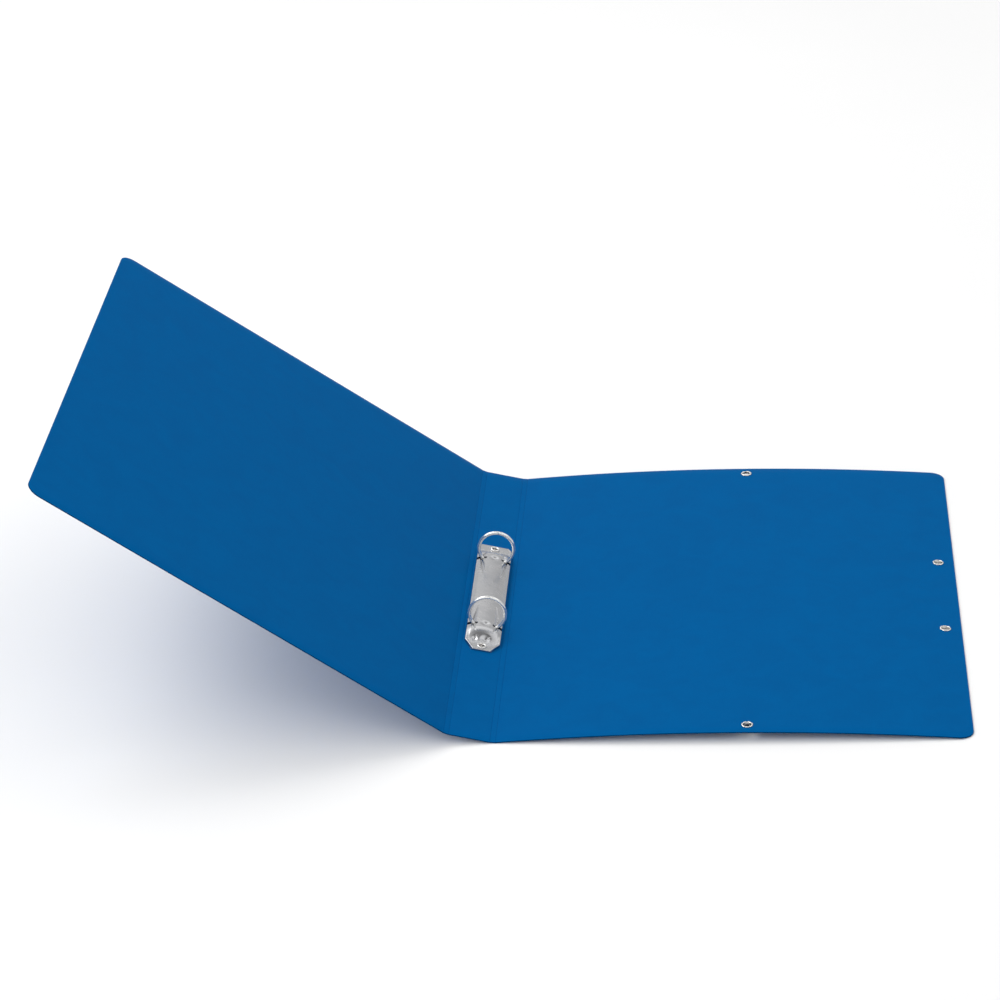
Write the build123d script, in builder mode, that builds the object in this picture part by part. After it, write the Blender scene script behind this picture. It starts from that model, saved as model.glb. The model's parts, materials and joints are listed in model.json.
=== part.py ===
from build123d import *
import os
from math import asin, cos, degrees, radians, sin, sqrt, tan

# A4 two-ring binder in glossy pressboard, lying open on a table.
#
# Millimetres and degrees. +Z is up, +Y runs along the spine and +X runs from the front cover to
# the back cover. The origin is on the table, under the middle of the open binder. The back cover
# lies to the right with its crease and its fore edge on the table, and bows up a little between
# them. From its crease the spine panel slopes up to the left, and the front cover rises from there.

# Card: one sheet of pressboard, scored at two creases
cover_height = 320.0  # along the spine
card = 0.7  # thickness
spine_width = 25.0  # crease to crease
spine_hollow = 0.05  # how far the spine's outer face springs in, between the creases
front_width = 253.0  # crease to fore edge
back_chord = 250.5  # crease to fore edge, straight across the bow
back_rise = 4.9  # height of the back cover's bow
corner_radius = 8.0  # at the fore edges
crease_clearance = 0.05  # beside the rounded edges that the creases turn on

# How the binder lies
spine_tilt = 13.0  # spine panel above the table
front_tilt = 35.0  # front cover above the table

# Eyelets for the elastics, in the back cover
eyelet_bore = 4.4
eyelet_wall = 0.25
eyelet_head = 7.0  # flat flange, outside
eyelet_head_thickness = 0.25
eyelet_roll = 6.3  # rolled flange, inside
eyelet_roll_height = 0.5
eyelet_fit = 0.05  # radial, in the card
eyelet_seat = 0.01  # between a flange and the bowed card
edge_eyelet_run = 133.0  # crease to the eyelets beside the far and near edges
edge_eyelet_inset = 7.4  # from those edges
fore_eyelet_inset = 9.0  # from the fore edge, along the chord
fore_eyelet_pitch = 80.0

# Ring mechanism: heights are above the spine panel's inner face
mechanism_shift = -1.4  # its middle, along Y
housing_length = 126.0
housing_width = 19.6
plate = 0.7  # steel of the housing
crown_height = 5.4
wall_height = 2.8  # straight sides below the arch
pad_crown_height = 1.2  # ends pressed down for the rivets
pad_wall_height = 0.9
pad_length = 8.0
ramp_length = 10.0  # from arch down to pad
lip = 1.3  # turned in under the blades
lip_thickness = 0.45
far_cut_across = 1.5  # corners cut off the far end
far_cut_along = 3.0
near_cut_across = 4.4  # corners cut off the near end
near_cut_along = 8.5

# Rings and the two blades that carry them
ring_pitch = 80.0
ring_outside = 21.8
wire = 1.9
ring_foot = 0.6  # lowest point of the rings' circles, above the card
ring_turn = 135.0  # arc from tip to where the leg runs straight down to the blade
tip_gap = 0.06  # between the closed tips
slot_clearance = 0.5  # beside the wire
blade = 0.9
blade_margin = 1.0  # housing's full arch beyond each end of the blades
blade_fit = 0.05  # between the blades' rounded edges and the housing's sides
blade_lift = 0.1  # above the lips
blade_gap = 0.3  # between the blades in the middle
ring_opening = 6.0  # turn of each blade, shut to open
tenon = 1.2  # ring ends, riveted through the blades
tenon_fit = 0.02

# Rivets that hold the housing to the spine panel
rivet_pitch = 118.0
rivet_shank = 3.4
rivet_bore = 2.8
rivet_head = 7.2  # outside the spine
rivet_head_flat = 3.6  # across the flat middle of the head
rivet_head_shoulder = 6.6  # across the head at half its thickness
rivet_head_thickness = 0.6
rivet_roll = 5.8  # on the pad
rivet_roll_height = 0.55
rivet_fit = 0.05  # radial

cut_margin = 1.0  # how far cutting tools run past what they cut

# Worked out from the above
half_height = cover_height / 2
half_card = card / 2
bow_radius = (back_chord**2 / 4 + back_rise**2) / (2 * back_rise)
bow_half_angle = degrees(asin(back_chord / 2 / bow_radius))
front_run = front_width * cos(radians(front_tilt)) + half_card * sin(radians(front_tilt))
spine_run = spine_width * cos(radians(spine_tilt))
back_run = back_chord + half_card * sin(radians(bow_half_angle))
back_crease = Vector((front_run + spine_run - back_run) / 2, 0, half_card)
spine_across = Vector(cos(radians(spine_tilt)), 0, -sin(radians(spine_tilt)))
spine_normal = Vector(sin(radians(spine_tilt)), 0, cos(radians(spine_tilt)))
front_across = Vector(cos(radians(front_tilt)), 0, -sin(radians(front_tilt)))
front_normal = Vector(sin(radians(front_tilt)), 0, cos(radians(front_tilt)))
front_crease = back_crease - spine_across * spine_width
along_near = Vector(0, -1, 0)

half_housing = housing_width / 2
half_housing_length = housing_length / 2
pad_start = half_housing_length - pad_length
arch_end = pad_start - ramp_length
blade_length = 2 * (arch_end - blade_margin)
ring_radius = (ring_outside - wire) / 2
ring_centre_height = ring_foot + ring_outside / 2
blade_tilt = ring_opening / 2
pivot_reach = half_housing - plate - blade_fit - blade / 2
pivot_height = lip_thickness + blade_lift + blade / 2
blade_width = (pivot_reach - blade_gap / 2) / cos(radians(blade_tilt))

# The card's middle surface across the spine, and the face that the mechanism sits on
spine_middle = Plane(
    origin=(back_crease + front_crease) * 0.5, x_dir=spine_across, z_dir=spine_normal
)
mechanism = Plane(
    origin=spine_middle.from_local_coords(Vector(0, mechanism_shift, half_card)),
    x_dir=spine_across,
    z_dir=spine_normal,
)


def across_mechanism(along, reach=0.0, height=0.0):
    """A plane across the mechanism, local X towards the back cover and local Y away from the card."""
    origin = mechanism.from_local_coords(Vector(reach, along, height))
    return Plane(origin=origin, x_dir=spine_across, z_dir=along_near)


def on_back_cover(run, along):
    """A plane on the bowed card's middle surface, run from the crease along the chord."""
    lean = asin((run - back_chord / 2) / bow_radius)
    height = bow_radius * cos(lean) - (bow_radius - back_rise)
    origin = back_crease + Vector(run, along, height)
    return Plane(origin=origin, x_dir=(cos(lean), 0, -sin(lean)), z_dir=(sin(lean), 0, cos(lean)))


def turning_section(frame):
    """The plane through a frame's own Z, to draw a section that turns round it."""
    return Plane(origin=frame.origin, x_dir=frame.x_dir, z_dir=-frame.y_dir)


def write(part, name):
    """Name a finished piece and write its file."""
    part.label = name
    export_step(part, f"parts/{name}.step")


def back_cover():
    """The bowed cover, with a hole for each eyelet."""
    middle = (back_chord / 2, back_rise - bow_radius)
    crease_gap = degrees((half_card + crease_clearance) / bow_radius)
    sweep_angle = 2 * bow_half_angle - crease_gap
    section = Plane(origin=back_crease, x_dir=(1, 0, 0), z_dir=along_near)
    with BuildPart() as cover:
        with BuildSketch(section):
            with BuildLine():
                inside = CenterArc(middle, bow_radius + half_card, 90 - bow_half_angle, sweep_angle)
                outside = CenterArc(middle, bow_radius - half_card, 90 - bow_half_angle, sweep_angle)
                Line(inside @ 0, outside @ 0)
                Line(inside @ 1, outside @ 1)
            make_face()
        extrude(amount=half_height, both=True)
        corners = cover.edges().filter_by(lambda edge: edge.length < 2 * card)
        fillet(corners.sort_by(Axis.X)[-2:], radius=corner_radius)
        with Locations(*[frame for _, frame in eyelet_frames()]):
            Hole(eyelet_bore / 2 + eyelet_wall + eyelet_fit)
    return cover.part


def spine_panel():
    """The spine, whose rounded long edges are what the two covers turn on."""
    half_width = spine_width / 2
    with BuildPart() as spine:
        section = Plane(origin=spine_middle.origin, x_dir=spine_across, z_dir=along_near)
        with BuildSketch(section):
            SlotCenterToCenter(spine_width, card)
            with BuildLine():
                hollow = ThreePointArc(
                    (-half_width, -half_card), (0, spine_hollow - half_card), (half_width, -half_card)
                )
                Line(hollow @ 1, hollow @ 0)
            make_face(mode=Mode.SUBTRACT)
        extrude(amount=half_height, both=True)
        with Locations(*[rivet_frame(side) for side in (1, -1)]):
            Hole(rivet_shank / 2 + rivet_fit)
    return spine.part


def front_cover():
    """The flat front cover, with rounded corners at its fore edge."""
    plane = Plane(origin=front_crease, x_dir=front_across, z_dir=front_normal)
    edge_gap = half_card + crease_clearance
    with BuildPart() as cover:
        with BuildSketch(plane) as outline:
            with Locations((-(front_width + edge_gap) / 2, 0)):
                Rectangle(front_width - edge_gap, cover_height)
            fillet(outline.vertices().group_by(Axis.X)[0], corner_radius)
        extrude(amount=half_card, both=True)
    return cover.part


def eyelet_frames():
    """Each eyelet's name and its plane on the back cover's middle surface."""
    edge = half_height - edge_eyelet_inset
    fore = back_chord - fore_eyelet_inset
    return [
        ("eyelet_far_edge", on_back_cover(edge_eyelet_run, edge)),
        ("eyelet_near_edge", on_back_cover(edge_eyelet_run, -edge)),
        ("eyelet_fore_far", on_back_cover(fore, fore_eyelet_pitch / 2)),
        ("eyelet_fore_near", on_back_cover(fore, -fore_eyelet_pitch / 2)),
    ]


def eyelet(frame):
    """A tube with a flat flange outside the card and a rolled one inside."""
    bore = eyelet_bore / 2
    barrel = bore + eyelet_wall
    seat = half_card + eyelet_seat
    with BuildPart() as ferrule:
        with BuildSketch(turning_section(frame)):
            with BuildLine():
                Polyline(
                    (bore, seat),
                    (bore, -seat - eyelet_head_thickness),
                    (eyelet_head / 2, -seat - eyelet_head_thickness),
                    (eyelet_head / 2, -seat),
                    (barrel, -seat),
                    (barrel, seat),
                    (eyelet_roll / 2, seat),
                )
                ThreePointArc(
                    (eyelet_roll / 2, seat),
                    ((bore + eyelet_roll / 2) / 2, seat + eyelet_roll_height),
                    (bore, seat),
                )
            make_face()
        revolve(axis=Axis(frame.origin, frame.z_dir))
    return ferrule.part


def inner_face(reach, wall, crown):
    """The height of the housing's inner face, reach from the middle."""
    rise = crown - wall
    radius = (half_housing**2 + rise**2) / (2 * rise)
    return crown - radius + sqrt((radius - plate) ** 2 - reach**2)


def housing_section(along, wall, crown):
    """The housing's arched channel, cut across the mechanism, with one thickness all round."""
    inner_half = half_housing - plate
    inner_wall = inner_face(inner_half, wall, crown)
    with BuildSketch(across_mechanism(along)) as section:
        with BuildLine():
            ThreePointArc((-half_housing, wall), (0, crown), (half_housing, wall))
            Polyline((half_housing, wall), (half_housing, 0), (inner_half, 0), (inner_half, inner_wall))
            ThreePointArc((inner_half, inner_wall), (0, crown - plate), (-inner_half, inner_wall))
            Polyline((-inner_half, inner_wall), (-inner_half, 0), (-half_housing, 0), (-half_housing, wall))
        make_face()
    return section.sketch


def housing_outline():
    """The housing's outline seen from above, its ends cut to octagons."""
    far = half_housing_length
    right = [
        (half_housing - near_cut_across, -far),
        (half_housing, -far + near_cut_along),
        (half_housing, far - far_cut_along),
        (half_housing - far_cut_across, far),
    ]
    left = [(-reach, along) for reach, along in reversed(right)]
    return right + left


def slot_inner_reach():
    """The inner end of the slots, from the middle: the leg's inner side, no higher than the plate."""
    turn = radians(ring_turn - 90)
    leg_reach = ring_radius * cos(turn)
    leg_height = ring_centre_height - ring_radius * sin(turn)
    travel = leg_height - inner_face(leg_reach, wall_height, crown_height)
    return leg_reach - travel * tan(turn) - wire / 2 / cos(turn)


def mechanism_housing():
    """The arched steel plate over the blades, ramped down to a riveted pad at each end."""
    slot_width = wire + 2 * slot_clearance
    slot_start = slot_inner_reach()
    slot_outer_reach = half_housing + cut_margin
    slot_middle = (slot_start + slot_outer_reach) / 2
    lip_middle = half_housing - plate - lip / 2
    arch = {side: housing_section(side * arch_end, wall_height, crown_height) for side in (1, -1)}
    pad = {side: housing_section(side * pad_start, pad_wall_height, pad_crown_height) for side in (1, -1)}
    with BuildPart() as housing:
        extrude(arch[1], amount=2 * arch_end)
        for side in (1, -1):
            loft([arch[side], pad[side]])
            extrude(pad[side], amount=-side * pad_length)
        with BuildSketch(mechanism):
            with Locations((lip_middle, 0), (-lip_middle, 0)):
                Rectangle(lip, 2 * arch_end)
        extrude(amount=lip_thickness)
        with BuildSketch(mechanism):
            Polygon(*housing_outline(), align=None)
        extrude(amount=crown_height + cut_margin, mode=Mode.INTERSECT)
        with BuildSketch(mechanism):
            for side in (1, -1):
                with Locations((side * slot_middle, ring_pitch / 2), (side * slot_middle, -ring_pitch / 2)):
                    Rectangle(slot_outer_reach - slot_start, slot_width)
        extrude(amount=crown_height + cut_margin, mode=Mode.SUBTRACT)
        with Locations(*[rivet_frame(side) for side in (1, -1)]):
            Hole(rivet_shank / 2 + rivet_fit)
    return housing.part


def rivet_frame(side):
    """A rivet's plane on the spine's inner face: side is 1 at the far end and -1 at the near end."""
    origin = mechanism.from_local_coords(Vector(0, side * rivet_pitch / 2, 0))
    return Plane(origin=origin, x_dir=spine_across, z_dir=spine_normal)


def rivet(frame):
    """A tubular rivet: a closed head outside the spine and a rolled end on the housing's pad."""
    bore = rivet_bore / 2
    shank = rivet_shank / 2
    with BuildPart() as tube:
        with BuildSketch(turning_section(frame)):
            with BuildLine():
                Polyline(
                    (bore, pad_crown_height),
                    (bore, -card),
                    (0, -card),
                    (0, -card - rivet_head_thickness),
                    (rivet_head_flat / 2, -card - rivet_head_thickness),
                )
                ThreePointArc(
                    (rivet_head_flat / 2, -card - rivet_head_thickness),
                    (rivet_head_shoulder / 2, -card - rivet_head_thickness / 2),
                    (rivet_head / 2, -card),
                )
                Polyline(
                    (rivet_head / 2, -card),
                    (shank, -card),
                    (shank, pad_crown_height),
                    (rivet_roll / 2, pad_crown_height),
                )
                ThreePointArc(
                    (rivet_roll / 2, pad_crown_height),
                    ((bore + rivet_roll / 2) / 2, pad_crown_height + rivet_roll_height),
                    (bore, pad_crown_height),
                )
            make_face()
        revolve(axis=Axis(frame.origin, frame.z_dir))
    return tube.part


def blade_plane(side):
    """A blade's section plane at its pivot, local X along the blade to the middle of the mechanism."""
    inward = -side * cos(radians(blade_tilt))
    down = -sin(radians(blade_tilt))
    return Plane(
        origin=mechanism.from_local_coords(Vector(side * pivot_reach, 0, pivot_height)),
        x_dir=spine_across * inward + spine_normal * down,
        z_dir=Vector(0, side, 0),
    )


def blade_top(side):
    """The plane of a blade's upper face."""
    section = blade_plane(side)
    origin = section.from_local_coords(Vector(0, blade / 2, 0))
    return Plane(origin=origin, x_dir=section.x_dir, z_dir=section.y_dir)


def leg_end(side, along):
    """Where the middle of a ring's leg meets its blade's upper face."""
    turn = radians(ring_turn - 90)
    start = Vector(side * ring_radius * cos(turn), along, ring_centre_height - ring_radius * sin(turn))
    line = Vector(-side * sin(turn), 0, -cos(turn))
    top = blade_top(side)
    start = mechanism.from_local_coords(start)
    line = spine_across * line.X + spine_normal * line.Z
    travel = (top.origin - start).dot(top.z_dir) / line.dot(top.z_dir)
    return Plane(origin=start + line * travel, x_dir=top.x_dir, z_dir=top.z_dir)


def ring_blade(side):
    """A long steel blade with one rounded edge, which turns on the housing's lip."""
    with BuildPart() as leaf:
        with BuildSketch(blade_plane(side)):
            Circle(blade / 2)
            Rectangle(blade_width, blade, align=(Align.MIN, Align.CENTER))
        extrude(amount=blade_length / 2, both=True)
        with Locations(leg_end(side, ring_pitch / 2), leg_end(side, -ring_pitch / 2)):
            Hole(tenon / 2 + tenon_fit)
    return leaf.part


def half_ring(side, along):
    """Half a ring of wire: an arc from the tip, a straight leg to the blade, and a tenon through it."""
    tip = degrees(tip_gap / 2 / ring_radius)
    leg = ring_centre_height
    with BuildPart() as ring:
        with BuildLine(across_mechanism(along)) as path:
            bend = CenterArc(
                (0, ring_centre_height), ring_radius, 90 - side * tip, -side * (ring_turn - tip)
            )
            Line(bend @ 1, bend @ 1 + (bend % 1) * leg)
        with BuildSketch(Plane(origin=path.line @ 0, z_dir=path.line % 0)):
            Circle(wire / 2)
        sweep()
        split(bisect_by=blade_top(side), keep=Keep.TOP)
        with BuildSketch(leg_end(side, along)):
            Circle(tenon / 2)
        extrude(amount=-blade)
    return ring.part


os.makedirs("parts", exist_ok=True)
write(back_cover(), "back_cover")
write(spine_panel(), "spine_panel")
write(front_cover(), "front_cover")
write(mechanism_housing(), "mechanism_housing")
for eyelet_name, eyelet_frame in eyelet_frames():
    write(eyelet(eyelet_frame), eyelet_name)
for end_name, end in (("far", 1), ("near", -1)):
    write(rivet(rivet_frame(end)), f"rivet_{end_name}")
for side_name, across in (("left", -1), ("right", 1)):
    write(ring_blade(across), f"blade_{side_name}")
    for end_name, end in (("far", 1), ("near", -1)):
        write(half_ring(across, end * ring_pitch / 2), f"ring_{end_name}_{side_name}")

print("back crease axis", back_crease)
print("front crease axis", front_crease)
for side_name, across in (("left", -1), ("right", 1)):
    print("blade pivot", side_name, blade_plane(across).origin)
for eyelet_name, eyelet_frame in eyelet_frames():
    print(eyelet_name, eyelet_frame.origin, eyelet_frame.z_dir)
for along in (ring_pitch / 2, -ring_pitch / 2):
    print("ring centre", across_mechanism(along, 0, ring_centre_height).origin)
print("slots start", slot_inner_reach(), "from the middle")
print("closing angle of the spine", 90 - bow_half_angle - spine_tilt)
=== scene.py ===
import bpy
import bmesh
import json
from math import asin, cos, pi, radians, sin, sqrt, tau
from mathutils import Matrix, Vector


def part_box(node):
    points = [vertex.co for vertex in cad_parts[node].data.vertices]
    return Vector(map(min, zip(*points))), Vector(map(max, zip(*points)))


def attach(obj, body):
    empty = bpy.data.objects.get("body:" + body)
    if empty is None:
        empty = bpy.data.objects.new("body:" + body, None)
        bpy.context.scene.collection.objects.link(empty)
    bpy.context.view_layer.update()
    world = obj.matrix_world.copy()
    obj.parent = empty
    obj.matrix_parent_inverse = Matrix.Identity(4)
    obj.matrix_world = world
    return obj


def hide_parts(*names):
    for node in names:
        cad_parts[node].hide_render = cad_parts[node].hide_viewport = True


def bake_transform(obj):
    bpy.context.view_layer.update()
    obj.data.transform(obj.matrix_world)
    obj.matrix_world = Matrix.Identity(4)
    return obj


# The looks of an A4 two-ring binder in glossy blue pressboard, lying open.
#
# Shapes are worked out in millimetres and degrees, from the frame's joints and boxes, and become
# metres when a mesh is made. Along is the direction of the spine, +Y. Across is from the front cover
# to the back cover.

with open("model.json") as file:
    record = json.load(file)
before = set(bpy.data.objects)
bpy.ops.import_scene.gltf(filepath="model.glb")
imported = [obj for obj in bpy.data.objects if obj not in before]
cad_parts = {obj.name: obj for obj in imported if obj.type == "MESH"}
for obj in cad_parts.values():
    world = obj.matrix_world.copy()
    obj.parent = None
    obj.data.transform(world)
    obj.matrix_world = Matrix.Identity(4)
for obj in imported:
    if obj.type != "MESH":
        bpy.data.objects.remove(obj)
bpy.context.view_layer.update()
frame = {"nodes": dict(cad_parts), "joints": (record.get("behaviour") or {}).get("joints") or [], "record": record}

MM = 0.001  # metres in a millimetre
AXIS = Vector((0, 1, 0))  # along the spine, which both creases follow


def in_mm(metres):
    return Vector(metres) / MM


def box_mm(node):
    low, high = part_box(node)
    return in_mm(low), in_mm(high)


def smooth_step(value):
    value = min(max(value, 0.0), 1.0)
    return value * value * (3 - 2 * value)


def bump_at(value):
    """1 at zero, falling smoothly to 0 at one and beyond."""
    return 1 - smooth_step(abs(value))


# ---------------------------------------------------------------------------------------------
# Places and sizes, from the frame
# ---------------------------------------------------------------------------------------------

joints = {joint["name"]: joint for joint in frame["joints"]}
mounts = {mount["name"]: mount for mount in frame["record"]["mounts"]}

back_crease = in_mm(joints["back_crease"]["pos_m"])
front_crease = in_mm(joints["front_crease"]["pos_m"])
half_card = back_crease.z
spine_width = (back_crease - front_crease).length
spine_across = (back_crease - front_crease).normalized()
spine_normal = spine_across.cross(AXIS)

low, high = box_mm("spine_panel")
half_height = high.y

low, high = box_mm("back_cover")
back_rise = high.z - back_crease.z - half_card


def fore_edge(node, crease):
    """The middle of a cover's fore edge, from the crease: the mean of its farthest points."""
    points = [in_mm(vertex.co) - crease for vertex in frame["nodes"][node].data.vertices]
    for point in points:
        point.y = 0
    reach = max(point.length for point in points)
    far_points = [point for point in points if point.length > reach - 0.01]
    return sum(far_points, Vector()) / len(far_points)


front_reach = fore_edge("front_cover", front_crease)
front_width = front_reach.length
front_outward = front_reach.normalized()
front_normal = AXIS.cross(front_outward)
back_chord = fore_edge("back_cover", back_crease).x

bow_radius = (back_chord**2 / 4 + back_rise**2) / (2 * back_rise)
bow_half_angle = asin(back_chord / 2 / bow_radius)
back_width = 2 * bow_half_angle * bow_radius - 0.04  # and a hair inside the CAD's box

low, high = box_mm("mechanism_housing")
half_length = (high.y - low.y) / 2
mechanism = (back_crease + front_crease) / 2 + spine_normal * half_card + AXIS * (high.y + low.y) / 2
to_row = Matrix((spine_across, AXIS, spine_normal)).transposed().to_4x4()
to_row.translation = mechanism


def on_mechanism(across, along, height):
    """A point given across and along the mechanism and above the spine's inner face."""
    return to_row @ Vector((across, along, height))


def from_mechanism(point):
    return to_row.inverted() @ point


def mechanism_box(node):
    points = [from_mechanism(in_mm(vertex.co)) for vertex in frame["nodes"][node].data.vertices]
    low = Vector([min(point[axis] for point in points) for axis in range(3)])
    high = Vector([max(point[axis] for point in points) for axis in range(3)])
    return low, high


low, high = mechanism_box("mechanism_housing")
half_width = high.x
crown_height = high.z

low, high = mechanism_box("ring_far_right")
ring_top = high.z
ring_outside = 2 * high.x
wire = high.y - low.y
ring_far = (high.y + low.y) / 2
ring_foot = low.z
low, high = mechanism_box("ring_near_right")
ring_near = (high.y + low.y) / 2
ring_centre_height = ring_top - ring_outside / 2
ring_radius = (ring_outside - wire) / 2

low, high = mechanism_box("rivet_near")
rivet_near = (high.y + low.y) / 2
rivet_head = high.y - low.y
rivet_bottom = low.z
low, high = mechanism_box("rivet_far")
rivet_far = (high.y + low.y) / 2
rivet_top = high.z

# Card
corner_radius = 8.0
crease_half = 1.5  # each crease is a pair of scores, this far to each side of its axis
score_half_width = 0.30
score_depth = 0.075
bend_half_width = 0.35  # each score's bend is rounded over this much
edge_bevel = 0.07

# Housing
plate = 0.7
rivet_roll_height = 0.55
flank_start = 7.6  # from the middle, where the crown turns down into the sloping flanks
flank_height = 4.25
wall_height = 2.9
fold_radius = 0.35
pad_height = rivet_top - rivet_roll_height
pad_rim = 0.45  # how far the pads' sides stand above them
pad_start = 57.0  # from the middle, along
arch_end = 44.5
facet_length = 24.0  # of the triangles pressed into the shoulders, on the arch's side of a slot
facet_end_length = 8.0  # and on its other side
facet_depth = 1.4
far_cut_across, far_cut_along = 1.5, 3.0
near_cut_across, near_cut_along = 4.4, 8.5
slot_inner_reach = 4.1
slot_width = wire + 1.0
facet_inner = 4.6  # where a facet starts, from the middle
facet_inner_shift = 0.3
facet_width = 3.3
facet_step = 0.22  # of the short rise on its outer side
rim_flat = 0.5  # of the pads' rim, beside its edge
rim_slope = 1.1
rim_fade = 5.0  # from the end, over which the rim dies out
end_lean = 0.45  # how far the walls lean inward round the ends
hole_clearance = 0.05  # round a rivet's shank
dimple_depth, dimple_radius = 0.9, 3.3
# Each ramp's two dents: how deep, their middle across and along, and half their size each way
RAMP_DENTS = [(1.15, 1.4, 52.4, 3.6, 3.1), (0.95, -4.5, 53.4, 1.9, 2.8)]

# Rings
ring_turn = radians(135)  # from the tip to where the leg runs straight down
tip_length = 0.9  # of the wedge on one tip, and of the notch that takes it in the other
tip_gap = 0.06
tip_rim = 0.88  # of the wire's radius, where the tips are rounded off
leg_stop = 0.95  # the leg's end above the ring's foot, where the tenon begins
tenon = 1.2
tenon_length = 0.9

# Rivets and eyelets
rivet_shank = 3.4
rivet_roll = 5.8
rivet_bore = 2.8
rivet_roll_lift = 0.15  # of the roll above the CAD's
eyelet_bore = 4.4
eyelet_roll = 6.3
eyelet_head = 7.0
eyelet_hole_margin = 0.3  # between the bore and the hole in the card


# ---------------------------------------------------------------------------------------------
# Materials
# ---------------------------------------------------------------------------------------------

class Recipe:
    """A node material on the Principled shader, with textures laid out in metres on the object."""

    def __init__(self, name, **sockets):
        self.material = bpy.data.materials.new(name)
        self.material.use_nodes = True
        self.tree = self.material.node_tree
        self.shader = self.tree.nodes["Principled BSDF"]
        for socket, value in sockets.items():
            self.shader.inputs[socket.replace("_", " ")].default_value = value
        self.place = self.add("ShaderNodeTexCoord").outputs["Object"]
        self.normal = None

    def add(self, kind, **values):
        node = self.tree.nodes.new(kind)
        for name, value in values.items():
            if hasattr(node, name):
                setattr(node, name, value)
            else:
                node.inputs[name.replace("_", " ")].default_value = value
        return node

    def link(self, output, socket):
        self.tree.links.new(output, socket)

    def stretched(self, scale, tilt=(0, 0, 0)):
        """Texture places stretched along an axis, for grain."""
        mapping = self.add("ShaderNodeMapping", Scale=scale, Rotation=tilt)
        self.link(self.place, mapping.inputs["Vector"])
        return mapping.outputs["Vector"]

    def noise(self, scale, detail=3.0, roughness=0.5, distortion=0.0, place=None):
        texture = self.add("ShaderNodeTexNoise", Scale=scale, Detail=detail, Distortion=distortion)
        texture.inputs["Roughness"].default_value = roughness
        self.link(place or self.place, texture.inputs["Vector"])
        return texture.outputs["Fac"]

    def spread(self, value, from_low, from_high, to_low, to_high):
        node = self.add("ShaderNodeMapRange", clamp=True)
        self.link(value, node.inputs["Value"])
        node.inputs["From Min"].default_value = from_low
        node.inputs["From Max"].default_value = from_high
        node.inputs["To Min"].default_value = to_low
        node.inputs["To Max"].default_value = to_high
        return node.outputs["Result"]

    def mixed(self, factor, first, second):
        """A colour between two: each is a colour or another mix's output."""
        node = self.add("ShaderNodeMix", data_type="RGBA")
        self.link(factor, node.inputs["Factor"])
        for name, colour in (("A", first), ("B", second)):
            socket = [socket for socket in node.inputs if socket.name == name and socket.type == "RGBA"][0]
            if isinstance(colour, tuple):
                socket.default_value = (*colour, 1)
            else:
                self.link(colour, socket)
        return [socket for socket in node.outputs if socket.type == "RGBA"][0]

    def colour(self, output):
        self.link(output, self.shader.inputs["Base Color"])

    def rough(self, output):
        self.link(output, self.shader.inputs["Roughness"])

    def bump(self, height, depth, strength=1.0):
        """Adds relief to the surface: depth is in metres."""
        node = self.add("ShaderNodeBump", Strength=strength, Distance=depth)
        self.link(height, node.inputs["Height"])
        if self.normal is not None:
            self.link(self.normal, node.inputs["Normal"])
        self.normal = node.outputs["Normal"]
        self.link(self.normal, self.shader.inputs["Normal"])


def pressboard():
    """Blue pressboard with a glazed face: faint cloudy mottling, short fibres and fine grain."""
    recipe = Recipe("pressboard", Specular_IOR_Level=0.005, IOR=1.45)
    clouds = recipe.noise(55, detail=6, roughness=0.62, distortion=0.9)
    flecks = recipe.noise(420, detail=3, roughness=0.6, place=recipe.stretched((1, 0.35, 1), (0, 0, 0.5)))
    fibres = recipe.noise(1500, detail=2, place=recipe.stretched((1, 0.16, 1), (0, 0, -0.4)))
    ground = recipe.mixed(recipe.spread(clouds, 0.35, 0.65, 0, 1), (0, 0.0885, 0.276), (0, 0.0965, 0.296))
    flecked = recipe.mixed(recipe.spread(flecks, 0.56, 0.72, 0, 0.3), ground, (0, 0.081, 0.260))
    recipe.colour(recipe.mixed(recipe.spread(fibres, 0.58, 0.70, 0, 0.2), flecked, (0, 0.108, 0.318)))
    recipe.rough(recipe.spread(clouds, 0.3, 0.7, 0.34, 0.46))
    recipe.bump(clouds, 0.00006, 0.5)
    recipe.bump(flecks, 0.00003, 0.4)
    recipe.bump(fibres, 0.000012, 0.5)
    return recipe.material


def cut_card_shaded():
    """The cut edge of the card: dyed through, without the glaze and fibrous; its darker colour is partly the
    unglazed card and partly painted shade along the edge.
    """
    recipe = Recipe("cut_card_shaded", Specular_IOR_Level=0.003)
    fibres = recipe.noise(2600, detail=3, roughness=0.7)
    wear = recipe.noise(90, detail=3)
    # The ground tones sit well below the face's blue: painted shade on the cut edge, over the card's own
    # dyed-through colour.
    ground = recipe.mixed(recipe.spread(fibres, 0.35, 0.65, 0, 1), (0, 0.026, 0.085), (0, 0.040, 0.125))
    recipe.colour(recipe.mixed(recipe.spread(wear, 0.55, 0.75, 0, 0.35), ground, (0.001, 0.058, 0.175)))
    recipe.rough(recipe.spread(fibres, 0.3, 0.7, 0.7, 0.9))
    recipe.bump(fibres, 0.00006, 0.6)
    return recipe.material


def scored_card_shaded():
    """The bottom of a score, a little glossier where the tool has burnished the card, and painted darker as shade
    in the groove.
    """
    recipe = Recipe("scored_card_shaded", Specular_IOR_Level=0.004)
    clouds = recipe.noise(240, detail=4, roughness=0.6)
    share = recipe.spread(clouds, 0.35, 0.65, 0, 1)
    # Darker than the face: painted shade in the score's groove.
    recipe.colour(recipe.mixed(share, (0, 0.066, 0.222), (0, 0.080, 0.258)))
    recipe.rough(recipe.spread(clouds, 0.3, 0.7, 0.30, 0.44))
    recipe.bump(clouds, 0.00003, 0.5)
    return recipe.material


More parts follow.
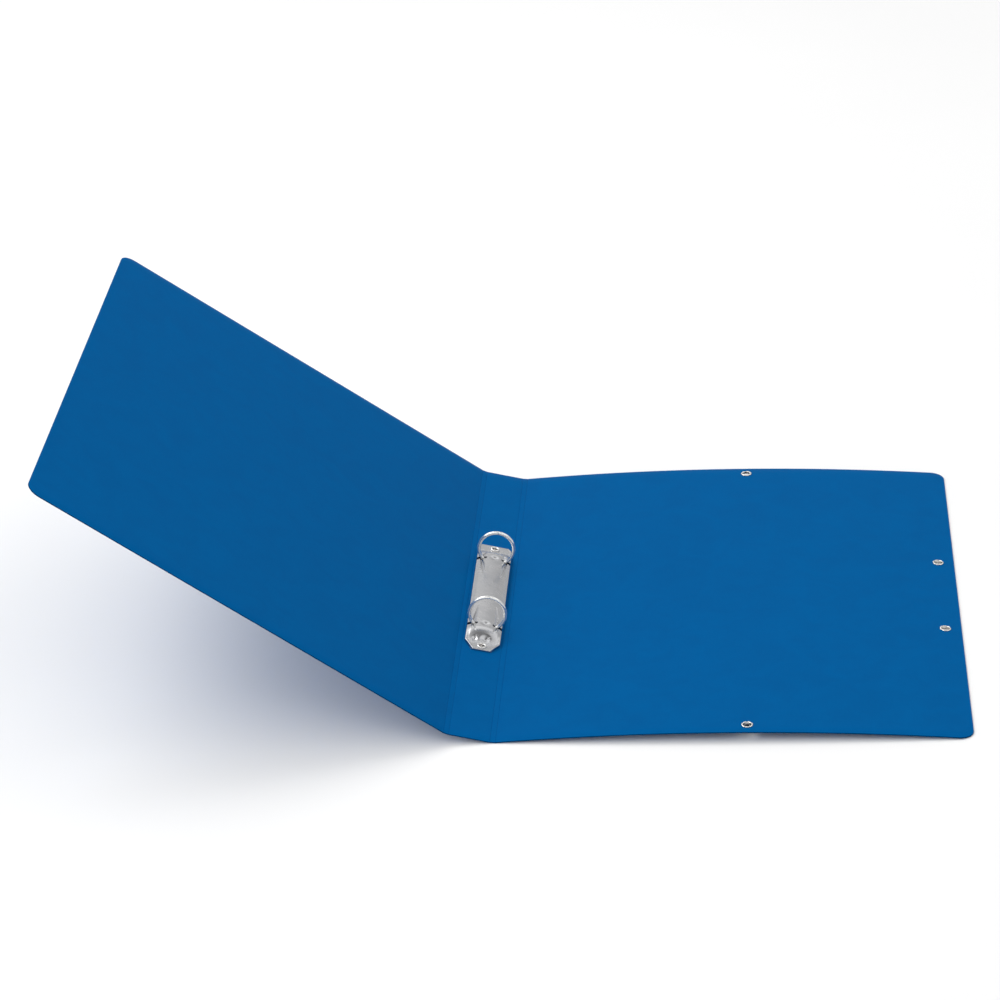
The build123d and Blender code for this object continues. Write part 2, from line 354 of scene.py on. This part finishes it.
def metal(name, light, dark, low_gloss, high_gloss, grain=(1, 0.04, 1), grain_depth=0.000006, metallic=1.0):
    """Plated metal: cloudy tone, drawn grain, fine scratches and duller patches."""
    recipe = Recipe(name, Metallic=metallic)
    clouds = recipe.noise(160, detail=4, roughness=0.55, distortion=0.4)
    drawn = recipe.noise(2600, detail=3, roughness=0.6, place=recipe.stretched(grain))
    specks = recipe.noise(5200, detail=2, roughness=0.6)
    marks = recipe.noise(900, detail=2, place=recipe.stretched((1, 0.03, 1), (0.1, 0.2, 0.6)))
    ground = recipe.mixed(recipe.spread(clouds, 0.3, 0.7, 0, 1), dark, light)
    scratch = recipe.spread(marks, 0.66, 0.70, 0, 0.12)
    recipe.colour(recipe.mixed(scratch, ground, tuple(min(1.0, tone * 1.12) for tone in light)))
    recipe.rough(recipe.spread(clouds, 0.3, 0.7, low_gloss, high_gloss))
    recipe.bump(drawn, grain_depth, 0.6)
    recipe.bump(specks, grain_depth / 3, 0.4)
    recipe.bump(marks, grain_depth / 2, 0.3)
    return recipe.material


def floor_paper():
    """The pale floor, with a trace of tone and tooth."""
    recipe = Recipe("pale_floor", Specular_IOR_Level=0.1)
    tone = recipe.noise(3, detail=3)
    tooth = recipe.noise(900, detail=2)
    share = recipe.spread(tone, 0.3, 0.7, 0, 1)
    recipe.colour(recipe.mixed(share, (0.86, 0.86, 0.86), (0.875, 0.875, 0.875)))
    recipe.rough(recipe.spread(tone, 0.3, 0.7, 0.75, 0.85))
    recipe.bump(tooth, 0.00002, 0.3)
    return recipe.material


PRESSBOARD = pressboard()
CUT_CARD_SHADED = cut_card_shaded()
SCORED_CARD_SHADED = scored_card_shaded()
NICKEL_PLATE = metal(
    "nickel_plate", (0.505, 0.505, 0.515), (0.455, 0.462, 0.475), 0.22, 0.29, grain_depth=0.000001
)
# Darker than plain zinc plate: the tone is also painted shade for the dark seen under the housing through its
# slots.
ZINC_STEEL_SHADED = metal("zinc_steel", (0.34, 0.35, 0.37), (0.24, 0.25, 0.27), 0.34, 0.5)
NICKEL_WIRE = metal(
    "nickel_wire", (0.86, 0.86, 0.84), (0.78, 0.78, 0.77), 0.12, 0.18,
    grain=(0.2, 1, 0.2), grain_depth=0.000001, metallic=0.8,
)
NICKEL_RIVET = metal(
    "nickel_rivet", (0.74, 0.73, 0.71), (0.60, 0.59, 0.58), 0.12, 0.22,
    grain=(1, 1, 1), grain_depth=0.000003,
)
NICKEL_EYELET = metal(
    "nickel_eyelet", (0.78, 0.77, 0.74), (0.60, 0.59, 0.56), 0.12, 0.22,
    grain=(1, 1, 1), grain_depth=0.000003,
)


# ---------------------------------------------------------------------------------------------
# Meshes
# ---------------------------------------------------------------------------------------------

def as_mesh(name, points, faces, materials, slots=None):
    """A new object from points in millimetres. Slots gives each face's place in materials."""
    mesh = bpy.data.meshes.new(name)
    mesh.from_pydata([tuple(point * MM) for point in points], [], faces)
    for material in materials:
        mesh.materials.append(material)
    if slots:
        mesh.polygons.foreach_set("material_index", slots)
    piece = bpy.data.objects.new(name, mesh)
    bpy.context.scene.collection.objects.link(piece)
    return piece


def tidy(piece, weld=0.002, bevel=0.0, keep=None, segments=2):
    """Welds doubled points and turns every face outward. A bevel rounds edges sharper than 55 degrees."""
    shape = bmesh.new()
    shape.from_mesh(piece.data)
    bmesh.ops.remove_doubles(shape, verts=shape.verts, dist=weld * MM)
    bmesh.ops.dissolve_degenerate(shape, edges=shape.edges, dist=weld * MM / 2)
    bmesh.ops.recalc_face_normals(shape, faces=shape.faces)
    if bevel:
        edges = [
            edge for edge in shape.edges
            if len(edge.link_faces) == 2 and edge.calc_face_angle() > radians(55)
            and not (keep and all(keep(vertex.co / MM) for vertex in edge.verts))
        ]
        bmesh.ops.bevel(
            shape, geom=edges, offset=bevel * MM, segments=segments, profile=0.5,
            affect="EDGES", clamp_overlap=True,
        )
    shape.to_mesh(piece.data)
    shape.free()


def shade(piece, angle=35):
    """Smooth shading, with edges sharper than the angle kept sharp."""
    piece.data.shade_smooth()
    piece.data.set_sharp_from_angle(angle=radians(angle))


def cut(piece, cutters):
    """Takes closed cutters out of a piece and removes them."""
    for cutter in cutters:
        modifier = piece.modifiers.new("cut", "BOOLEAN")
        modifier.operation = "DIFFERENCE"
        modifier.solver = "EXACT"
        modifier.object = cutter
    bpy.context.view_layer.update()
    evaluated = piece.evaluated_get(bpy.context.evaluated_depsgraph_get())
    mesh = bpy.data.meshes.new_from_object(evaluated)
    piece.modifiers.clear()
    old = piece.data
    piece.data = mesh
    bpy.data.meshes.remove(old)
    for cutter in cutters:
        shape = cutter.data
        bpy.data.objects.remove(cutter)
        bpy.data.meshes.remove(shape)


def prism(outline, low, high, place, material):
    """A closed cutter: an outline in its own plane, from low to high along place's Z."""
    count = len(outline)
    points = [place @ Vector((x, y, z)) for z in (low, high) for x, y in outline]
    faces = [tuple(range(count - 1, -1, -1)), tuple(range(count, 2 * count))]
    faces += [(i, (i + 1) % count, count + (i + 1) % count, count + i) for i in range(count)]
    return as_mesh("cutter", points, faces, [material])


def circle(radius, count=48):
    return [(radius * cos(tau * i / count), radius * sin(tau * i / count)) for i in range(count)]


def turned(name, profile, place, material, count=96, shape=None):
    """A closed ring turned from a closed profile of (radius, height). Shape may change each point."""
    points = []
    for step in range(count):
        turn = tau * step / count
        for radius, height in profile:
            if shape:
                radius, height = shape(radius, height, turn)
            points.append(place @ Vector((radius * cos(turn), radius * sin(turn), height)))
    size = len(profile)
    faces = []
    for step in range(count):
        ahead = (step + 1) % count
        for i in range(size):
            j = (i + 1) % size
            faces.append((step * size + i, step * size + j, ahead * size + j, ahead * size + i))
    piece = as_mesh(name, points, faces, [material])
    tidy(piece)
    return piece


def arc(centre, radius, start, end, count):
    """Points on an arc in the plane, from start to end, in degrees."""
    angles = [radians(start + (end - start) * i / count) for i in range(count + 1)]
    return [(centre[0] + radius * cos(angle), centre[1] + radius * sin(angle)) for angle in angles]


# ---------------------------------------------------------------------------------------------
# Card
# ---------------------------------------------------------------------------------------------

def along_spine(run):
    """The card's middle and its inward normal, run from the back crease towards the front one."""
    return back_crease - spine_across * run, spine_normal


def along_back(run):
    lean = run / bow_radius - bow_half_angle
    centre = back_crease + Vector((back_chord / 2, 0, back_rise - bow_radius))
    normal = Vector((sin(lean), 0, cos(lean)))
    return centre + normal * bow_radius, normal


def along_front(run):
    return front_crease + front_outward * run, front_normal


def creased(spine_side, cover_side, run):
    """The card near a crease: straight between its two scores. Run is negative on the spine."""
    if abs(run) >= crease_half:
        return cover_side(run) if run > 0 else spine_side(-run)
    start, start_normal = spine_side(crease_half)
    end, end_normal = cover_side(crease_half)
    share = (run + crease_half) / (2 * crease_half)
    return start.lerp(end, share), (start_normal + end_normal).normalized()


def rounded(spine_side, cover_side, run):
    """The same, with each score's bend rounded."""
    shifts = (-1, -0.5, 0, 0.5, 1)
    samples = [creased(spine_side, cover_side, run + bend_half_width * shift) for shift in shifts]
    point = sum((sample[0] for sample in samples), Vector()) / len(samples)
    normal = sum((sample[1] for sample in samples), Vector())
    return point, normal.normalized()


def score_at(run):
    """How deep the card is scored there, from 0 to 1."""
    return max(bump_at((abs(run) - crease_half) / score_half_width), 0.0)


def half_height_at(run, width):
    """Half the sheet's height, which the rounded corners take in near the fore edge."""
    into_corner = run - (width - corner_radius)
    if into_corner <= 0:
        return half_height
    return half_height - corner_radius + sqrt(max(corner_radius**2 - into_corner**2, 0))


def card_runs(seam, width):
    """Where the sheet's columns lie: close at the scores and the corners."""
    runs = []
    fine = crease_half + 2 * score_half_width
    step_count = 12
    runs += [seam + (-fine - seam) * i / step_count for i in range(step_count)]
    fine_count = 60
    runs += [-fine + 2 * fine * i / fine_count for i in range(fine_count + 1)]
    straight_end = width - corner_radius
    straight_count = 42
    runs += [fine + (straight_end - fine) * i / straight_count for i in range(1, straight_count + 1)]
    corner_count = 14
    turns = [pi / 2 * i / corner_count for i in range(1, corner_count + 1)]
    runs += [straight_end + corner_radius * sin(turn) for turn in turns]
    return runs


def card_sheet(name, spine_side, cover_side, width):
    """Half the spine and one cover as one closed sheet, scored at their crease."""
    seam = -spine_width / 2
    runs = card_runs(seam, width)
    rows = 49
    points = []
    for side in (1, -1):
        for run in runs:
            point, normal = rounded(spine_side, cover_side, run)
            edge = half_height_at(run, width)
            depth = half_card - (score_depth * score_at(run) if side > 0 else 0)
            for row in range(rows):
                along = edge * (2 * row / (rows - 1) - 1)
                points.append(point + normal * depth * side + AXIS * along)
    columns = len(runs)
    face_count = columns * rows
    faces = []
    slots = []
    for side in (0, 1):
        for column in range(columns - 1):
            middle = (runs[column] + runs[column + 1]) / 2
            # Faces at the scores' bottoms take the score's material, painted darker as shade in the groove.
            scored = side == 0 and score_at(middle) > 0.3
            for row in range(rows - 1):
                start = side * face_count + column * rows + row
                faces.append((start, start + 1, start + rows + 1, start + rows))
                slots.append(2 if scored else 0)
    border = [column * rows for column in range(columns)]
    border += [(columns - 1) * rows + row for row in range(1, rows)]
    border += [column * rows + rows - 1 for column in range(columns - 2, -1, -1)]
    border += [row for row in range(rows - 2, 0, -1)]
    # The border faces take the cut edge's material, painted darker as shade along the edge.
    for i, corner in enumerate(border):
        following = border[(i + 1) % len(border)]
        faces.append((corner, following, face_count + following, face_count + corner))
        slots.append(1)
    sheet = as_mesh(name, points, faces, [PRESSBOARD, CUT_CARD_SHADED, SCORED_CARD_SHADED], slots)
    seam_point = along_spine(spine_width / 2)[0]

    def at_seam(point):
        return abs((point - seam_point).dot(spine_across)) < 0.02

    tidy(sheet, bevel=edge_bevel, keep=at_seam)
    return sheet


def eyelet_place(name):
    """The middle of the card under an eyelet, with Z along its bore."""
    mount = mounts[name + "_bore"]
    axis = Vector(mount["axis"])
    across = AXIS.cross(axis)
    place = Matrix((across, axis.cross(across), axis)).transposed().to_4x4()
    offset = in_mm(mount["pos_m"]) - back_crease - Vector((back_chord / 2, 0, back_rise - bow_radius))
    offset.y = 0
    place.translation = in_mm(mount["pos_m"]) + axis * (bow_radius - offset.length)
    return place


def rivet_place(along):
    place = to_row.copy()
    place.translation = on_mechanism(0, along, 0)
    return place


EYELETS = ["eyelet_far_edge", "eyelet_near_edge", "eyelet_fore_far", "eyelet_fore_near"]
RIVETS = {"rivet_far": rivet_far, "rivet_near": rivet_near}


def rivet_holes(low, high, material):
    hole = circle(rivet_shank / 2 + hole_clearance)
    return [prism(hole, low, high, rivet_place(along), material) for along in RIVETS.values()]


def make_card():
    """The covers and the spine, as two sheets that meet in the middle of the spine."""
    back = card_sheet("card_back", along_spine, along_back, back_width)
    front = card_sheet(
        "card_front", lambda run: along_spine(spine_width - run), along_front, front_width
    )
    eyelet_hole = circle(eyelet_bore / 2 + eyelet_hole_margin)
    eyelet_holes = [prism(eyelet_hole, -2, 2, eyelet_place(name), CUT_CARD_SHADED) for name in EYELETS]
    cut(back, eyelet_holes + rivet_holes(-2, 1, CUT_CARD_SHADED))
    cut(front, rivet_holes(-2, 1, CUT_CARD_SHADED))
    for sheet in (back, front):
        shade(sheet, 30)
    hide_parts("back_cover", "spine_panel")
    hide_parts("front_cover")
    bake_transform(back)
    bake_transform(front)


# ---------------------------------------------------------------------------------------------
# Mechanism
# ---------------------------------------------------------------------------------------------

def outline_half_width(along):
    """Half the housing's width, which the cut corners take in at its ends."""
    far_cut = far_cut_across, far_cut_along
    near_cut = near_cut_across, near_cut_along
    cut_across, cut_along = far_cut if along > 0 else near_cut
    into_cut = abs(along) - (half_length - cut_along)
    if into_cut <= 0:
        return half_width
    return half_width - cut_across * into_cut / cut_along


def crown_at(across):
    """The full arch: a broad crown, then sloping flanks to the walls."""
    reach = abs(across)
    if reach < flank_start:
        return crown_height - (crown_height - flank_height) * (reach / flank_start) ** 2
    slope = (flank_height - wall_height) / (half_width - flank_start)
    return flank_height - slope * (reach - flank_start)


def end_share(along):
    """0 on the full arch, 1 on the pads at the ends."""
    run = (abs(along) - arch_end) / (pad_start - arch_end)
    return (run + 2 * smooth_step(run)) / 3 if 0 < run < 1 else smooth_step(run)


def facet_at(reach, run, length):
    """How deep a triangular facet is pressed: it starts at a slot and narrows to a point on the crown."""
    if not 0 <= run <= length:
        return 0.0
    left = 1 - run / length
    inner = facet_inner + facet_inner_shift * left
    outer = facet_inner + facet_width * left
    if reach <= inner or reach >= outer + facet_step:
        return 0.0
    if reach > outer:
        return facet_depth * left * (outer + facet_step - reach) / facet_step
    return facet_depth * left * (reach - inner) / max(outer - inner, 0.05)


def dent(across, along, half_across, half_along):
    """How deep an oval dent is there, from 0 at its rim to 1 in its middle."""
    return bump_at(min(sqrt((across / half_across) ** 2 + (along / half_along) ** 2), 1))


def housing_top(across, along):
    """The height of the housing's upper face."""
    share = end_share(along)
    beside = outline_half_width(along) - abs(across)
    fade = smooth_step((half_length - abs(along)) / rim_fade)
    rim = pad_rim * smooth_step(1 - (beside - rim_flat) / rim_slope) * fade
    height = crown_at(across) * (1 - share) + (pad_height + rim) * share
    # Where the arch ramps down, the press leaves a broad dent and a narrow one beside it
    for depth, middle_across, middle_along, half_across, half_along in RAMP_DENTS:
        hollow = dent(across - middle_across, abs(along) - middle_along, half_across, half_along)
        height -= depth * hollow * (1 - 0.4 * share)
    for ring in (ring_far, ring_near):
        to_middle = (ring - along) if ring > 0 else (along - ring)
        height -= facet_at(abs(across), to_middle, facet_length)
        height -= facet_at(abs(across), -to_middle, facet_end_length)
        # A round dimple stiffens the crown between the slots
        height -= dimple_depth * dent(across, along - ring, dimple_radius, dimple_radius)
    return height


def housing_columns():
    """Places across the housing, from -1 to 1, close together at the folds."""
    count = 96
    return [2 * i / count - 1 for i in range(count + 1)]


def housing_point(share, drop, along, inside):
    """A point of the housing's skin. Share runs across the crown; drop from 0 to 1 down the wall."""
    edge = outline_half_width(along)
    lean = end_lean * smooth_step((abs(along) - (half_length - near_cut_along)) / near_cut_along)
    top_edge = edge - fold_radius - lean
    across = share * top_edge
    height = housing_top(across, along)
    if drop > 0:
        side = 1 if share > 0 else -1
        fold = min(drop / 0.4, 1) * pi / 2
        edge_height = height
        across = side * (top_edge + fold_radius * sin(fold))
        height = edge_height - fold_radius * (1 - cos(fold))
        if drop > 0.4:
            down = (drop - 0.4) / 0.6
            across = side * (edge - lean * (1 - down))
            height *= 1 - down
    if inside:
        wall_top = max(housing_top(top_edge, along), plate + 0.2)
        thinner = plate * min(height / wall_top, 1)
        across *= (edge - plate) / edge
        if drop == 0:
            height = housing_top(across, along * (half_length - plate) / half_length)
        height = max(height - thinner, 0)
    return across, height


def make_housing():
    """The plate over the blades, as an outer and an inner skin joined round the foot."""
    shares = housing_columns()
    wall_steps = [0.1, 0.2, 0.3, 0.4, 0.55, 0.7, 0.85, 1.0]
    profile = [(-1, drop) for drop in reversed(wall_steps)]
    profile += [(share, 0) for share in shares]
    profile += [(1, drop) for drop in wall_steps]
    row_step = 0.36
    row_count = int(2 * (half_length - fold_radius) / row_step)
    flat_end = half_length - fold_radius
    rows = [(-flat_end + 2 * flat_end * i / row_count, 0) for i in range(row_count + 1)]
    ends = [0.25, 0.5, 0.75, 1.0, 1.4, 1.8, 2.0]
    rows = [(-1, end) for end in reversed(ends)] + rows + [(1, end) for end in ends]
    points = []
    for inside in (False, True):
        for place, end in rows:
            along = place * flat_end if end else place
            factor = 1.0
            if end:
                fold = min(end, 1) * pi / 2
                along = place * (flat_end + fold_radius * sin(fold))
                down = max(end - 1, 0)
                factor = (1 - fold_radius * (1 - cos(fold)) / pad_height) * (1 - down)
            sample = along if not end else place * flat_end
            y = along * (half_length - plate) / half_length if inside else along
            for share, drop in profile:
                across, height = housing_point(share, drop, sample, inside)
                points.append(on_mechanism(across, y, max(height * factor, 0)))
    wide = len(profile)
    long = len(rows)
    skin = wide * long
    faces = []
    for inside in (0, 1):
        for row in range(long - 1):
            for column in range(wide - 1):
                start = inside * skin + row * wide + column
                faces.append((start, start + 1, start + wide + 1, start + wide))
    border = [column for column in range(wide)]
    border += [row * wide + wide - 1 for row in range(1, long)]
    border += [(long - 1) * wide + column for column in range(wide - 2, -1, -1)]
    border += [row * wide for row in range(long - 2, 0, -1)]
    for i, corner in enumerate(border):
        following = border[(i + 1) % len(border)]
        faces.append((corner, following, skin + following, skin + corner))
    housing = as_mesh("housing", points, faces, [NICKEL_PLATE])
    tidy(housing)
    cutters = []
    for ring in (ring_far, ring_near):
        for side in (1, -1):
            half_slot = slot_width / 2
            bend = arc((slot_inner_reach + half_slot, 0), half_slot, 90, 270, 16)
            outline = [(half_width + 2, -half_slot), (half_width + 2, half_slot)] + bend
            if side < 0:
                outline = [(-x, y) for x, y in reversed(outline)]
            place = to_row.copy()
            place.translation = on_mechanism(0, ring, 0)
            cutters.append(prism(outline, -1, crown_height + 2, place, NICKEL_PLATE))
    cut(housing, cutters + rivet_holes(-1, crown_height, NICKEL_PLATE))
    shade(housing, 38)
    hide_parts("mechanism_housing")
    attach(housing, "spine")


def make_rivets():
    """Tubular rivets: a domed head outside the spine and a rolled, slightly split rim on the pad."""
    bore = rivet_bore / 2
    shank = rivet_shank / 2
    roll = rivet_roll / 2
    head = rivet_head / 2
    roll_height = rivet_top - pad_height + rivet_roll_lift
    profile = [(bore, pad_height - 0.1)]
    profile += [(bore, height) for height in (0.8, 0.0, -0.6)]
    profile += [(0.5, -0.72), (0.02, -0.74), (0.02, rivet_bottom)]
    profile += [(head * 0.5, rivet_bottom), (head * 0.8, rivet_bottom + 0.07)]
    profile += [(head * 0.94, rivet_bottom + 0.2)]
    profile += [(head, rivet_bottom + 0.42), (head * 0.99, rivet_bottom + 0.58)]
    profile += [(shank, -0.7), (shank, 0), (shank, pad_height)]
    middle = (bore + roll) / 2
    half_roll = (roll - bore) / 2
    over = arc((0, 0), 1, 0, 172, 14)
    profile += [(middle + half_roll * x, pad_height + roll_height * y) for x, y in over]

    def split(radius, height, turn):
        if height > pad_height and radius > bore:
            notch = max(cos(6 * turn), 0) ** 24
            radius -= 0.35 * notch * (radius - bore) / (roll - bore)
            height -= 0.12 * notch
        return radius, height

    for name, along in RIVETS.items():
        rivet = turned(name + "_rolled", profile, rivet_place(along), NICKEL_RIVET, 144, split)
        shade(rivet, 50)
        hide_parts(name)
        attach(rivet, "spine")


def make_eyelets():
    """Eyelets: a flat flange outside, a barrel, and a flange rolled over and split inside."""
    bore = eyelet_bore / 2
    wall = 0.25
    seat = half_card + 0.01
    head = eyelet_head / 2
    roll = eyelet_roll / 2
    roll_height = 0.46
    roll_lift = 0.16
    profile = [(bore + 0.03, seat), (bore, 0), (bore, -seat)]
    profile += [(bore + 0.12, -seat - 0.2), (bore + 0.3, -seat - 0.25)]
    profile += [(head - 0.12, -seat - 0.25), (head - 0.02, -seat - 0.18)]
    profile += [(head, -seat - 0.08), (head - 0.04, -seat)]
    profile += [(bore + wall, -seat), (bore + wall, seat)]
    middle = (bore + roll) / 2
    half_roll = (roll - bore) / 2
    over = arc((0, 0), 1, -20, 172, 18)
    profile += [(middle + half_roll * x, seat + roll_lift + roll_height * y) for x, y in over]

    def split(radius, height, turn):
        if height > seat and radius > bore + 0.05:
            notch = abs(cos(3.5 * turn)) ** 30
            share = (radius - bore) / (roll - bore)
            radius -= 0.62 * notch * share
            height = max(height - 0.34 * notch * share, seat)
            radius = min(radius + 0.05 * sin(2 * turn + 0.6) * share, roll)
        return radius, height

    for index, name in enumerate(EYELETS):
        place = eyelet_place(name) @ Matrix.Rotation(0.7 * index, 4, "Z")
        eyelet = turned(name + "_rolled", profile, place, NICKEL_EYELET, 168, split)
        shade(eyelet, 50)
        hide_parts(name)
        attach(eyelet, "back")


def ring_path(side, count=72):
    """Points and directions down half a ring, in the plane across the mechanism, from the tip."""
    gap = tip_gap / 2 / ring_radius
    path = []
    for i in range(count + 1):
        turn = gap + (ring_turn - gap) * i / count
        point = Vector((side * ring_radius * sin(turn), 0, ring_centre_height + ring_radius * cos(turn)))
        path.append((point, Vector((side * cos(turn), 0, -sin(turn)))))
    start, direction = path[-1]
    travel = (start.z - (ring_foot + leg_stop)) / -direction.z
    for i in range(1, 7):
        path.append((start + direction * travel * i / 6, direction))
    return path


def make_ring(name, side, along):
    """Half a ring of wire. The left tip ends in a wedge and the right one in a notch that takes it."""
    wire_radius = wire / 2
    around = 32
    inner_rings = [0.0, 0.35, 0.7, 1.0]
    points = []
    faces = []
    path = ring_path(side)

    def section(point, direction, radius_share, angle, shift=0.0):
        out = (point - Vector((0, 0, ring_centre_height))).normalized()
        out = (out - direction * out.dot(direction)).normalized()
        beside = Vector((0, 1, 0))
        offset = (out * cos(angle) + beside * sin(angle)) * wire_radius * radius_share
        place = point + offset + direction * shift
        return on_mechanism(place.x, place.y + along, place.z)

    def tip_shift(radius_share, angle):
        """How far the tip's face lies behind the plane between the tips, to shape wedge or notch."""
        across = abs(sin(angle)) * radius_share
        wedge = tip_length * (0.5 - across)
        return -wedge if side < 0 else wedge

    # The tip's face, from its middle outward
    start, direction = path[0]
    points.append(section(start, direction, 0, 0, tip_shift(0, 0)))
    for share in inner_rings[1:]:
        for i in range(around):
            angle = tau * i / around
            rim = 1.0 if share < 1 else tip_rim
            points.append(section(start, direction, share * rim, angle, tip_shift(share, angle)))
    for i in range(around):
        faces.append((0, 1 + i, 1 + (i + 1) % around))
    ring_start = 1
    for _ in range(len(inner_rings) - 2):
        for i in range(around):
            j = (i + 1) % around
            faces.append((ring_start + i, ring_start + around + i, ring_start + around + j, ring_start + j))
        ring_start += around
    # The wire
    for index, (point, direction) in enumerate(path):
        if index == 0:
            continue
        for i in range(around):
            angle = tau * i / around
            fade = max(0.0, 1 - index / 6)
            shift = tip_shift(1, angle) * fade
            if index == 1:
                shift = tip_shift(1, angle) * 0.86
            points.append(section(point, direction, 1, angle, shift))
        for i in range(around):
            j = (i + 1) % around
            faces.append((ring_start + i, ring_start + around + i, ring_start + around + j, ring_start + j))
        ring_start += around
    # The tenon, riveted through the blade
    end, direction = path[-1]
    for travel in (0.0, tenon_length):
        for i in range(around):
            angle = tau * i / around
            points.append(section(end, direction, tenon / wire, angle, travel))
        for i in range(around):
            j = (i + 1) % around
            faces.append((ring_start + i, ring_start + around + i, ring_start + around + j, ring_start + j))
        ring_start += around
    faces.append(tuple(ring_start + i for i in range(around)))
    ring = as_mesh(name + "_wire", points, faces, [NICKEL_WIRE])
    tidy(ring, weld=0.001)
    shade(ring, 42)
    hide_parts(name)
    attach(ring, "left_leaf" if side < 0 else "right_leaf")


def make_rings():
    for end, along in (("far", ring_far), ("near", ring_near)):
        for side_name, side in (("left", -1), ("right", 1)):
            make_ring(f"ring_{end}_{side_name}", side, along)


def dress_blades():
    """The blades keep their shape and take a zinc-plated steel, darkened as painted shade where they show through
    the slots.
    """
    for name in ("blade_left", "blade_right"):
        node = frame["nodes"][name]
        node.data.materials.clear()
        node.data.materials.append(ZINC_STEEL_SHADED)


# ---------------------------------------------------------------------------------------------
# Stage
# ---------------------------------------------------------------------------------------------

def make_floor():
    """A pale floor, a hair below the binder."""
    size = 9000
    steps = 2
    drop = 0.05
    points = [
        Vector((size * (2 * i / steps - 1), size * (2 * j / steps - 1), -drop))
        for i in range(steps + 1) for j in range(steps + 1)
    ]
    faces = []
    for i in range(steps):
        for j in range(steps):
            start = i * (steps + 1) + j
            faces.append((start, start + steps + 1, start + steps + 2, start + 1))
    as_mesh("floor", points, faces, [floor_paper()])


def make_world():
    """Studio light from all round: a bright band high above the horizon and a dark ceiling."""
    world = bpy.data.worlds.new("studio")
    bpy.context.scene.world = world
    world.use_nodes = True
    tree = world.node_tree
    background = tree.nodes["Background"]
    place = tree.nodes.new("ShaderNodeTexCoord")
    split = tree.nodes.new("ShaderNodeSeparateXYZ")
    tree.links.new(place.outputs["Generated"], split.inputs["Vector"])

    def banded(output, tones):
        ramp = tree.nodes.new("ShaderNodeValToRGB")
        tree.links.new(output, ramp.inputs["Fac"])
        while len(ramp.color_ramp.elements) < len(tones):
            ramp.color_ramp.elements.new(0.5)
        for element, (height, tone) in zip(ramp.color_ramp.elements, tones):
            element.position = height
            element.color = (tone, tone, tone, 1)
        return ramp.outputs["Color"]

    # Height on the unit sphere, and the tone there
    low_tones = [(0.0, 0.80), (0.35, 0.62), (0.52, 0.72)]
    high_tones = [(0.66, 1.30), (0.85, 1.15), (0.925, 0.20), (1.0, 0.08)]
    up = banded(split.outputs["Z"], low_tones + high_tones)
    # The room is a little darker on the right
    to_right = tree.nodes.new("ShaderNodeMapRange")
    tree.links.new(split.outputs["X"], to_right.inputs["Value"])
    to_right.inputs["From Min"].default_value = -1
    side = banded(to_right.outputs["Result"], [(0.0, 1.12), (0.5, 1.0), (0.62, 0.86), (1.0, 0.80)])
    product = tree.nodes.new("ShaderNodeMix")
    product.data_type = "RGBA"
    product.blend_type = "MULTIPLY"
    product.inputs["Factor"].default_value = 1
    colours = [socket for socket in product.inputs if socket.type == "RGBA"]
    tree.links.new(up, colours[0])
    tree.links.new(side, colours[1])
    mixed = [socket for socket in product.outputs if socket.type == "RGBA"][0]
    tree.links.new(mixed, background.inputs["Color"])
    background.inputs["Strength"].default_value = 1.2


def make_light(name, place, target, size, power):
    light = bpy.data.lights.new(name, "AREA")
    light.shape = "RECTANGLE"
    light.size, light.size_y = size
    light.energy = power
    lamp = bpy.data.objects.new(name, light)
    lamp.location = place
    lamp.rotation_euler = (Vector(target) - Vector(place)).to_track_quat("-Z", "Y").to_euler()
    bpy.context.scene.collection.objects.link(lamp)


def make_camera():
    """The camera's turn round the binder and its height are in degrees, its distance in metres."""
    turn, height, roll = radians(4.688), radians(25.676), radians(-2.814)
    distance = 1.9856
    target = Vector((-0.012224, 0, 0.064126))
    back = Vector((sin(turn) * cos(height), -cos(turn) * cos(height), sin(height)))
    level_right = (-back).cross(Vector((0, 0, 1))).normalized()
    level_up = level_right.cross(-back)
    right = level_right * cos(roll) + level_up * sin(roll)
    up = level_up * cos(roll) - level_right * sin(roll)
    data = bpy.data.cameras.new("camera")
    data.sensor_width = 36
    data.lens = 128.68
    data.clip_end = 100
    camera = bpy.data.objects.new("camera", data)
    camera.matrix_world = Matrix((right, up, back)).transposed().to_4x4()
    camera.location = target + back * distance
    bpy.context.scene.collection.objects.link(camera)
    bpy.context.scene.camera = camera


make_card()
make_housing()
make_rivets()
make_eyelets()
make_rings()
dress_blades()
make_floor()
make_world()
make_light("key", (-0.9, 0.6, 1.6), (0, 0, 0), (1.0, 1.0), 9)
make_light("strip", (-0.55, -0.35, 1.7), (0, 0, 0), (0.16, 1.6), 3)
make_light("fill", (-1.3, -1.1, 0.45), (-0.15, 0, 0), (1.2, 0.6), 4)
make_camera()
bpy.context.scene.view_settings.view_transform = "Standard"
